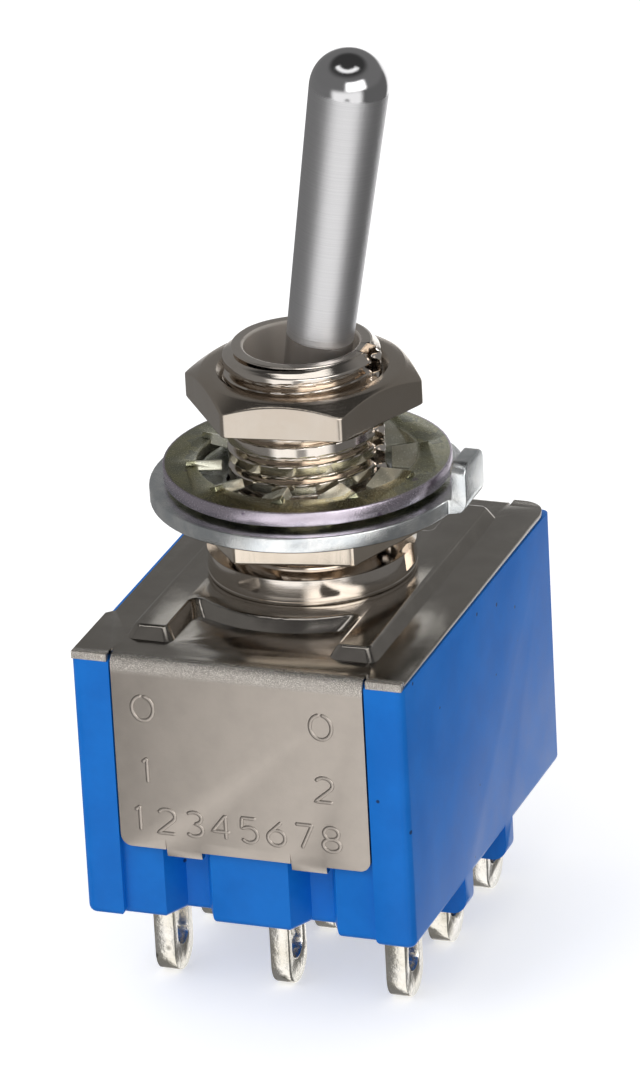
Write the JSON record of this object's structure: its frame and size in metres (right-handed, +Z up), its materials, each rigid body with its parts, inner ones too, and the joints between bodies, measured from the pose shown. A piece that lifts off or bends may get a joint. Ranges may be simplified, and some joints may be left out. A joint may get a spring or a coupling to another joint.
{
  "type": "toggle switch",
  "caption": "Miniature toggle switch with a moulded case, folded metal frame, threaded bushing with parked nuts, locating ring and lock washer, tapered lever and slotted solder lugs.",
  "frame": {"origin": "on the bushing's axis, at the lock washer's upper face, where the panel's back seats", "axes": "+Z up the bushing, out of the panel; X is the direction the lever throws in, with the locating tab at +X; Y runs along the row of poles"},
  "size_m": [0.0133, 0.0174, 0.0364],
  "materials": {
    "case": "glossy moulded thermoset, small specks",
    "frame": "satin plated sheet steel",
    "bushing": "bright nickel plate, fine machined thread",
    "nut": "bright nickel plate over machined brass",
    "locating_ring": "bright zinc plate, stamped edges",
    "lock_washer": "zinc plate with an iridescent passivation",
    "lever": "nickel plate over fine turning marks",
    "drive_bar": "natural acetal",
    "plunger": "turned brass",
    "plunger_spring": "bright spring wire",
    "rocker": "silver-plated copper strip",
    "terminal": "silver-plated copper alloy, lightly tarnished"
  },
  "bodies": {
    "root": {"case": "case", "frame": "frame", "bushing": "bushing", "lock_washer": "lock_washer", "locating_ring": "locating_ring", "terminal_front_common": "terminal", "terminal_front_left": "terminal", "terminal_front_right": "terminal", "terminal_middle_common": "terminal", "terminal_middle_left": "terminal", "terminal_middle_right": "terminal", "terminal_rear_common": "terminal", "terminal_rear_left": "terminal", "terminal_rear_right": "terminal"},
    "lever": {"lever": "lever"},
    "drive_bar": {"drive_bar": "drive_bar", "plunger_spring_front": "plunger_spring", "plunger_spring_middle": "plunger_spring", "plunger_spring_rear": "plunger_spring"},
    "upper_nut": {"upper_nut": "nut"},
    "lower_nut": {"lower_nut": "nut"},
    "plunger_front": {"plunger_front": "plunger"},
    "rocker_front": {"rocker_front": "rocker"},
    "plunger_middle": {"plunger_middle": "plunger"},
    "rocker_middle": {"rocker_middle": "rocker"},
    "plunger_rear": {"plunger_rear": "plunger"},
    "rocker_rear": {"rocker_rear": "rocker"}
  },
  "joints": [
    {"name": "lever_throw", "type": "hinge", "parent": "root", "child": "lever", "pos_m": [0, 0, 0.00027], "axis": [0, 1, 0], "range_deg": [-18.8, 0]},
    {"name": "bar_slide", "type": "slide", "parent": "root", "child": "drive_bar", "axis": [1, 0, 0], "range_m": [0, 0.00243]},
    {"name": "upper_nut_turn", "type": "hinge", "parent": "root", "child": "upper_nut", "pos_m": [0, 0, 0.003], "axis": [0, 0, 1], "continuous": true},
    {"name": "lower_nut_turn", "type": "hinge", "parent": "root", "child": "lower_nut", "pos_m": [0, 0, -0.00211], "axis": [0, 0, 1], "continuous": true},
    {"name": "rocker_front_tilt", "type": "hinge", "parent": "root", "child": "rocker_front", "pos_m": [0, -0.0048, -0.01177], "axis": [0, 1, 0], "range_deg": [0, 14]},
    {"name": "plunger_front_press", "type": "slide", "parent": "drive_bar", "child": "plunger_front", "axis": [0, 0, 1], "range_m": [0, 0.0003], "stiffness_N_per_m": 600, "springref_m": -0.0005, "deforming": ["plunger_spring_front"]},
    {"name": "rocker_middle_tilt", "type": "hinge", "parent": "root", "child": "rocker_middle", "pos_m": [0, 0, -0.01177], "axis": [0, 1, 0], "range_deg": [0, 14]},
    {"name": "plunger_middle_press", "type": "slide", "parent": "drive_bar", "child": "plunger_middle", "axis": [0, 0, 1], "range_m": [0, 0.0003], "stiffness_N_per_m": 600, "springref_m": -0.0005, "deforming": ["plunger_spring_middle"]},
    {"name": "rocker_rear_tilt", "type": "hinge", "parent": "root", "child": "rocker_rear", "pos_m": [0, 0.0048, -0.01177], "axis": [0, 1, 0], "range_deg": [0, 14]},
    {"name": "plunger_rear_press", "type": "slide", "parent": "drive_bar", "child": "plunger_rear", "axis": [0, 0, 1], "range_m": [0, 0.0003], "stiffness_N_per_m": 600, "springref_m": -0.0005, "deforming": ["plunger_spring_rear"]}
  ],
  "couplings": [
    {"joint": "bar_slide", "follows": "lever_throw", "m_per_rad": -0.0074166},
    {"joint": "rocker_front_tilt", "follows": "lever_throw", "ratio": -0.74468},
    {"joint": "rocker_middle_tilt", "follows": "lever_throw", "ratio": -0.74468},
    {"joint": "rocker_rear_tilt", "follows": "lever_throw", "ratio": -0.74468}
  ]
}
